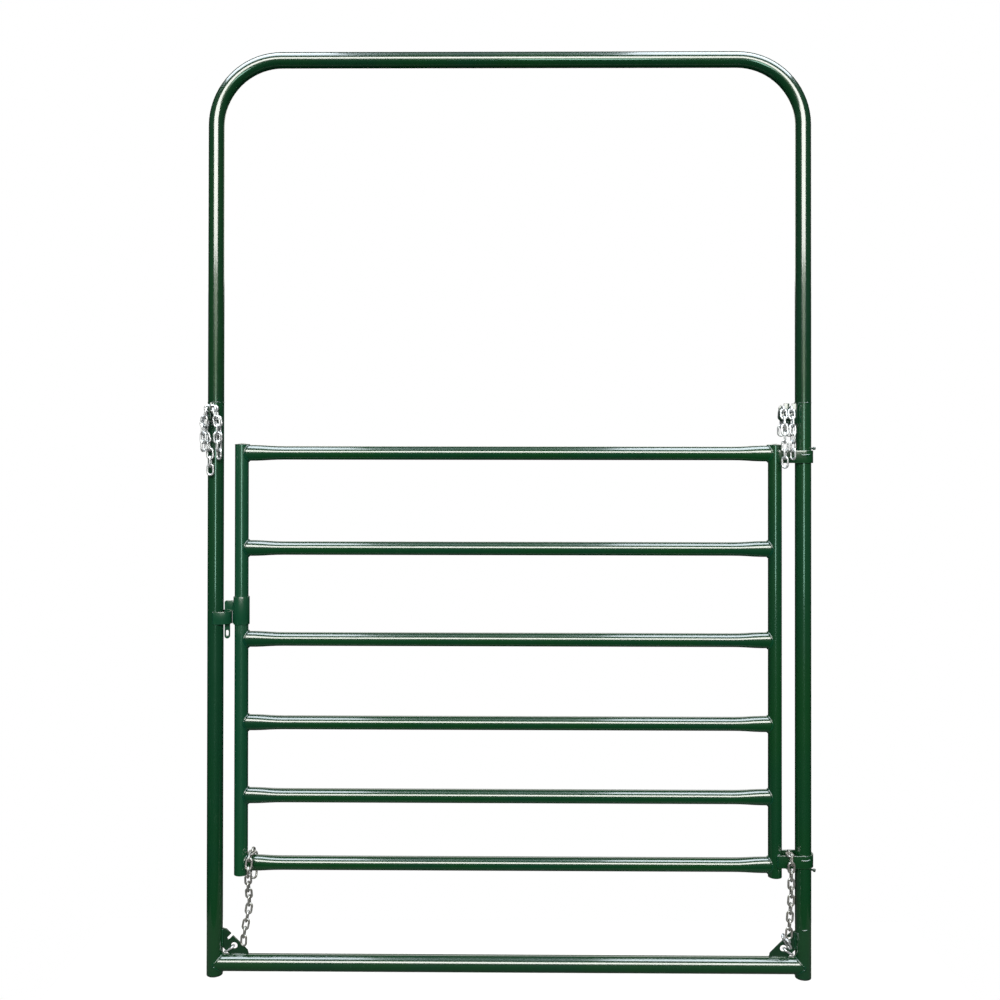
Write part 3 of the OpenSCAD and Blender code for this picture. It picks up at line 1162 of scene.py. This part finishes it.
@dataclass
class Leaf:
    """The six rail leaf: two stiles, pressed rails, caps and hinge straps.

    A strap's legs end on the stile, a share of its radius short of its axis, and the weld
    across each end turns back along the leg's two edges.
    """

    gate: Gate
    rail_wide: float = 0.01815
    rail_tall: float = 0.02415
    cap_seam_z: float = 1.6062
    strap_z: Pair = (0.3555, 1.5715)
    strap_h: float = 0.038
    strap_r: float = 0.02965
    strap_edge: float = 1.1 * MM
    cap_edge: float = 0.5 * MM
    stop_gap: float = 6.0 * MM
    rail_bead: float = 3.3 * MM
    rail_weld_off: float = 0.6 * MM
    cap_bead: float = 1.3 * MM
    cap_weld_sunk: float = 0.6 * MM
    lap_share: float = 0.25
    lap_bead: float = 3.0 * MM
    lap_back: float = 0.8 * MM
    lap_off: float = 0.9 * MM
    lap_end_bead: float = 2.4 * MM
    lap_end_x: Triple = (-1 * MM, 4 * MM, 9 * MM)
    lap_end_shares: Pair = (0.98, 0.9)
    front_bead: float = 2.6 * MM
    front_sag: float = 2.4 * MM
    front_drop: float = 12 * MM
    front_fan: tuple[int, int, int] = (-90, 34, 4)

    def build(self) -> None:
        """Builds the leaf's pieces and the stop bolts that keep it on its post."""
        for end in INWARD:
            # The latch stile wears the lighter, painted-light copy of the enamel, the hinge stile
            # the plain one.
            paint = LIT_LATCH_PAINT if end == "latch" else TUBE_PAINT
            Tube(f"{end}_stile", Body.LEAF, paint).build()
        for node, z in self.gate.rail_z.items():
            Tube(node, Body.LEAF).build()
            self.rail_welds(node, z)
        for end in INWARD:
            Tube(f"{end}_stile_top_cap", Body.LEAF).build()
            Plate(f"{end}_stile_bottom_cap", Body.LEAF, edge=self.cap_edge).build()
        for node in ("upper_hinge_strap", "lower_hinge_strap"):
            Plate(node, Body.LEAF, HINGE_PAINT, edge=self.strap_edge, segments=3).build()
        self.cap_welds()
        for name, z, side in zip(("lower", "upper"), self.strap_z, (-1, 1)):
            self.strap_welds(name, z)
            StopBolt(self.gate, name, z + side * (self.strap_h / 2 + self.stop_gap)).build()

    def rail_welds(self, node: str, z: float) -> None:
        """Welds a rail to both stiles.

        Args:
            node: The rail's name.
            z: Its height.
        """
        g = self.gate
        stile = g.leaf_r + self.rail_weld_off
        beads = []
        for end, side in INWARD.items():
            ring = saddle(g.stile_x[end], z, self.rail_wide, self.rail_tall, stile, side)
            beads.append(Bead(ring, self.rail_bead, closed=True))
        WeldSet(f"{node}_welds", Body.LEAF, beads).build()

    def cap_welds(self) -> None:
        """Lays the thin ring of weld that closes each stile's top."""
        g = self.gate
        for end, x in g.stile_x.items():
            turns = full_circle(CAP_RING_STEPS)
            ring = round_upright(x, g.leaf_r - self.cap_weld_sunk, self.cap_seam_z, turns)
            beads = [Bead(ring, self.cap_bead, closed=True)]
            WeldSet(f"{end}_stile_cap_weld", Body.LEAF, beads).build()

    def strap_welds(self, name: str, z: float) -> None:
        """Welds a hinge strap's legs to the stile, and lays the bead on its front.

        Args:
            name: Upper or lower.
            z: The strap's middle height.
        """
        g = self.gate
        half = self.strap_h / 2
        lap_x = g.stile_x["hinge"] + g.leaf_r * self.lap_share
        beads = []
        for face in (-1, 1):
            x, y = lap_x - self.lap_back, face * (g.leaf_r + self.lap_off)
            ends = (y, *(face * g.leaf_r * share for share in self.lap_end_shares))
            beads.append(Bead(straight((x, y, z - half), (x, y, z + half)), self.lap_bead))
            for edge in (z - half, z + half):
                path = [Vector((lap_x + dx, y, edge)) for dx, y in zip(self.lap_end_x, ends)]
                beads.append(Bead(path, self.lap_end_bead))
        beads.append(Bead(self.front_path(z + half - self.front_drop), self.front_bead))
        WeldSet(f"{name}_hinge_strap_welds", Body.LEAF, beads).build()

    def front_path(self, z: float) -> list[Vector]:
        """The sagging path of the bead on a strap's front.

        Args:
            z: The height of its ends.

        Returns:
            The points.
        """
        turns = fan(*self.front_fan)
        path = []
        for i, turn in enumerate(turns):
            across = i / (len(turns) - 1) * 2 - 1
            sag = self.front_sag * (across**2 - 1)
            x, y = self.strap_r * math.cos(turn), self.strap_r * math.sin(turn)
            path.append(Vector((x, y, z + sag)))
        return path


@dataclass
class Latch:
    """The lift latch: a sleeve on the stile, its plate and the keeper on the post."""

    gate: Gate
    sleeve_r: float = 0.02415
    plate_low: float = 1.063
    plate_high: float = 1.1325
    plate_t: float = 0.006
    keeper_z: float = 1.063
    keeper_h: float = 0.038
    sleeve_edge: float = 0.7 * MM
    keeper_edge: float = 1.0 * MM
    plate_bead: float = 2.2 * MM
    plate_stop: float = 1 * MM
    plate_off: float = 1.0 * MM
    sleeve_off: float = 0.3 * MM
    keeper_bead: float = 2.6 * MM
    keeper_off: float = 1.2 * MM
    keeper_back: float = 1.0 * MM

    def build(self) -> None:
        """Builds the latch's pieces."""
        Plate("latch_sleeve", Body.LATCH, LIT_LATCH_PAINT, edge=self.sleeve_edge).build()
        Plate("latch_plate", Body.LATCH, LIT_LATCH_PAINT).build()
        Plate("latch_keeper_strap", Body.FRAME, LIT_LATCH_PAINT, edge=self.keeper_edge).build()
        self.plate_welds()
        self.keeper_welds()

    def plate_welds(self) -> None:
        """Welds the latch plate to the sleeve, front and back."""
        low, high = self.plate_low + self.plate_stop, self.plate_high - self.plate_stop
        out = self.plate_t / 2 + self.plate_off
        back = math.sqrt(self.sleeve_r**2 - out**2)
        x = self.gate.stile_x["latch"] - back - self.sleeve_off
        beads = []
        for y in (-out, out):
            beads.append(Bead(straight((x, y, low), (x, y, high)), self.plate_bead))
        WeldSet("latch_plate_welds", Body.LATCH, beads).build()

    def keeper_welds(self) -> None:
        """Welds the keeper strap's ends to the post."""
        low, high = self.keeper_z, self.keeper_z + self.keeper_h
        x, out = self.gate.post_x["latch"] - self.keeper_back, self.gate.post_r + self.keeper_off
        beads = []
        for y in (-out, out):
            beads.append(Bead(straight((x, y, low), (x, y, high)), self.keeper_bead))
        WeldSet("latch_keeper_welds", Body.FRAME, beads).build()


@dataclass
class TieChains:
    """The chains: the fixed solids in zinc, which is duller where they hang low."""

    finishes: dict[str, Finish] = field(
        default_factory=lambda: {
            "tie_chain": CHAIN_ZINC,
            "gusset_links": CHAIN_ZINC,
            "hanging_chain": DULL_ZINC,
        }
    )

    def build(self) -> None:
        """Plates the chains."""
        for kind, finish in self.finishes.items():
            for end in INWARD:
                finish.dress(frame["nodes"][f"{end}_side_{kind}"])
                LOG.info("%-34s %s", f"{end}_side_{kind}", finish.name)


# ---- the studio

WARM_WHITE = (1.0, 1.0, 0.94)
SKY_BLUE = (0.84, 0.92, 1.0)
LEAF_GREEN = (0.72, 1.0, 0.5)
SEA_GREEN = (0.55, 1.0, 0.82)
ROOM_BLUE = (0.80, 0.90, 1.0, 1.0)


@dataclass(frozen=True)
class SoftBox:
    """A rectangular lamp, whose glow is its radiance. 1 is the white of the backdrop."""

    name: str
    place: Triple
    size: Pair
    glow: float
    aim: Triple
    tone: Triple = WARM_WHITE
    lights: bool = True
    mirrored: bool = True
    uprights_only: bool = False

    def hang(self, uprights: bpy.types.Collection) -> None:
        """Hangs the lamp in the scene.

        Args:
            uprights: The upright tubes, which some lamps are kept to.
        """
        lamp = bpy.data.lights.new(self.name, "AREA")
        lamp.shape = "RECTANGLE"
        lamp.size, lamp.size_y = self.size
        lamp.energy = self.glow * math.pi * self.size[0] * self.size[1]
        lamp.color = self.tone
        holder = bpy.data.objects.new(self.name, lamp)
        holder.location = self.place
        holder.visible_diffuse = self.lights
        holder.visible_glossy = self.mirrored
        facing = Vector(self.aim) - Vector(self.place)
        holder.rotation_euler = facing.to_track_quat("-Z", "Y").to_euler()
        if self.uprights_only:
            holder.light_linking.receiver_collection = uprights
        bpy.context.scene.collection.objects.link(holder)


UPRIGHTS = ("latch_post", "hinge_post", "bow_tube", "latch_stile", "hinge_stile")
SOFT_BOXES = (
    SoftBox("front_box", (-0.9, -9.0, 5.3), (9.0, 3.4), 11.5, (-0.9, 0, 1.4)),
    SoftBox(
        "left_panel", (-4.75, -1.4, 8.0), (5.0, 5.2), 9.0, (-4.75, -1.4, 0), SKY_BLUE, lights=False
    ),
    SoftBox(
        "right_panel", (2.55, -1.4, 8.0), (5.0, 5.2), 9.0, (2.55, -1.4, 0), SKY_BLUE, lights=False
    ),
    SoftBox(
        "low_box", (-0.4, -9.1, 2.8), (3.0, 1.6), 1.05, (-0.9, 0, 1.6), LEAF_GREEN,
        lights=False, uprights_only=True,
    ),
    SoftBox(
        "window_strip", (-0.1, -9.2, 1.05), (1.5, 2.1), 7.0, (-0.9, 0, 1.2), SEA_GREEN,
        lights=False, uprights_only=True,
    ),
    SoftBox("back_fill", (-0.9, 7.0, 5.0), (10.0, 4.0), 1.6, (-0.9, 0, 1.2)),
    SoftBox("back_soft", (-0.9, 7.5, 3.6), (9.0, 4.5), 4.2, (-0.9, 0, 1.3), mirrored=False),
)


def grey(level: float) -> Colour:
    """A grey of one level.

    Args:
        level: Its linear level.

    Returns:
        The colour with an alpha of 1.
    """
    return (level, level, level, 1.0)


@dataclass
class Studio:
    """The pale floor, the soft lights, the world and the camera.

    A rise is a span of how far a direction points up, and an end of how far it points back.
    The lens and the sensor are in millimetres, and the shift is a share of the sensor.
    """

    eye: Triple = (-0.887, -3.35, 1.6)
    pitch: float = math.radians(0.29)
    yaw: float = math.radians(0.517)
    roll: float = math.radians(0.073)
    lens: float = 39.744
    sensor: float = 36.0
    shift: float = -0.0587
    far: float = 60.0
    floor_place: Triple = (-0.89, 0, 0)
    floor_half: Pair = (1.35, 0.38)
    ambient: float = 0.36
    room: float = 0.035
    room_rise: Pair = (-0.30, 0.0)
    sky_rise: Pair = (0.80, 0.93)
    sky_end: Pair = (0.08, 0.34)
    sky_glow: float = 0.6
    paper_white: float = 0.84
    paper_mirrored: float = 0.05
    paper_pale: float = 0.27
    paper_dim: float = 0.04

    def build(self) -> None:
        """Sets the studio up round the gate."""
        self.floor()
        self.world()
        self.lights()
        self.camera()
        bpy.context.scene.view_settings.view_transform = "Standard"

    def floor(self) -> None:
        """Lays a plain pale floor, which looks white to the camera where no shadow falls
        and is dim in reflections and as a source of light."""
        deselect()
        bpy.ops.mesh.primitive_plane_add(size=2, location=self.floor_place)
        floor = bpy.context.object
        floor.name = floor.data.name = "studio_floor"
        floor.scale = (*self.floor_half, 1)
        bake()
        material = bpy.data.materials.new("studio_floor")
        graph = Graph(material)
        seen = self.seen(graph)
        camera = graph.add("ShaderNodeLightPath", output="Is Camera Ray")
        level = camera * self.paper_white + (1 - camera) * seen * self.paper_mirrored
        tone = graph.tint(camera, grey(self.paper_dim), grey(self.paper_pale))
        paper = graph.add("ShaderNodeBsdfDiffuse", {"Color": tone})
        glow = graph.add("ShaderNodeEmission", {"Color": WHITE, "Strength": level})
        both = graph.add("ShaderNodeAddShader", {0: paper, 1: glow})
        graph.add("ShaderNodeOutputMaterial", {"Surface": both})
        floor.data.materials.append(material)

    def seen(self, graph: Graph) -> Signal:
        """1 for what the camera sees directly, in a reflection or through glass.

        Args:
            graph: The tree to write in.

        Returns:
            The mask.
        """
        rays = [
            graph.add("ShaderNodeLightPath", output=name)
            for name in ("Is Camera Ray", "Is Glossy Ray", "Is Transmission Ray")
        ]
        return (rays[0] + rays[1] + rays[2]).ramp(0.0, 1.0)

    def world(self) -> None:
        """Makes the surroundings: white to the camera, an even level of light on the gate,
        and in its gloss a dim room under a pale sky."""
        world = bpy.data.worlds.new("studio_world")
        graph = Graph(world)
        camera = graph.add("ShaderNodeLightPath", output="Is Camera Ray")
        seen = self.seen(graph)
        direction = graph.add("ShaderNodeTexCoord", output="Generated")
        along = graph.add("ShaderNodeSeparateXYZ", {0: direction}, "Y")
        up = graph.add("ShaderNodeSeparateXYZ", {0: direction}, "Z")
        overhead = up.ramp(*self.sky_rise) * (1 - along.ramp(*self.sky_end))
        room = overhead * self.sky_glow + up.ramp(*self.room_rise) * self.room
        strength = camera + (1 - camera) * (seen * room + (1 - seen) * self.ambient)
        tone = graph.tint(seen, WHITE, graph.tint(camera, ROOM_BLUE, WHITE))
        back = graph.add("ShaderNodeBackground", {"Color": tone, "Strength": strength})
        graph.add("ShaderNodeOutputWorld", {"Surface": back})
        bpy.context.scene.world = world

    def lights(self) -> None:
        """Hangs the soft boxes, some of them for the upright tubes alone."""
        uprights = bpy.data.collections.new("uprights")
        for node in UPRIGHTS:
            uprights.objects.link(bpy.data.objects[f"{node}_skin"])
        for lamp in SOFT_BOXES:
            lamp.hang(uprights)

    def camera(self) -> None:
        """Sets the camera on its stand."""
        data = bpy.data.cameras.new("camera")
        data.sensor_width = self.sensor
        data.lens = self.lens
        data.shift_y = self.shift
        data.clip_end = self.far
        stand = bpy.data.objects.new("camera", data)
        level = Matrix.Rotation(math.pi / 2, 4, "X")
        turn = Matrix.Rotation(self.yaw, 4, "Z") @ Matrix.Rotation(self.pitch, 4, "X")
        stand.matrix_world = (
            Matrix.Translation(self.eye) @ turn @ level @ Matrix.Rotation(self.roll, 4, "Z")
        )
        bpy.context.scene.collection.objects.link(stand)
        bpy.context.scene.camera = stand


def main() -> None:
    """Builds the gate's looks in order."""
    logging.basicConfig(level=logging.INFO, format="%(message)s")
    gate = Gate()
    for assembly in (PostFrame(gate), Leaf(gate), Latch(gate), TieChains(), Studio()):
        LOG.info("== %s", type(assembly).__name__)
        assembly.build()


if __name__ == "__main__":
    main()
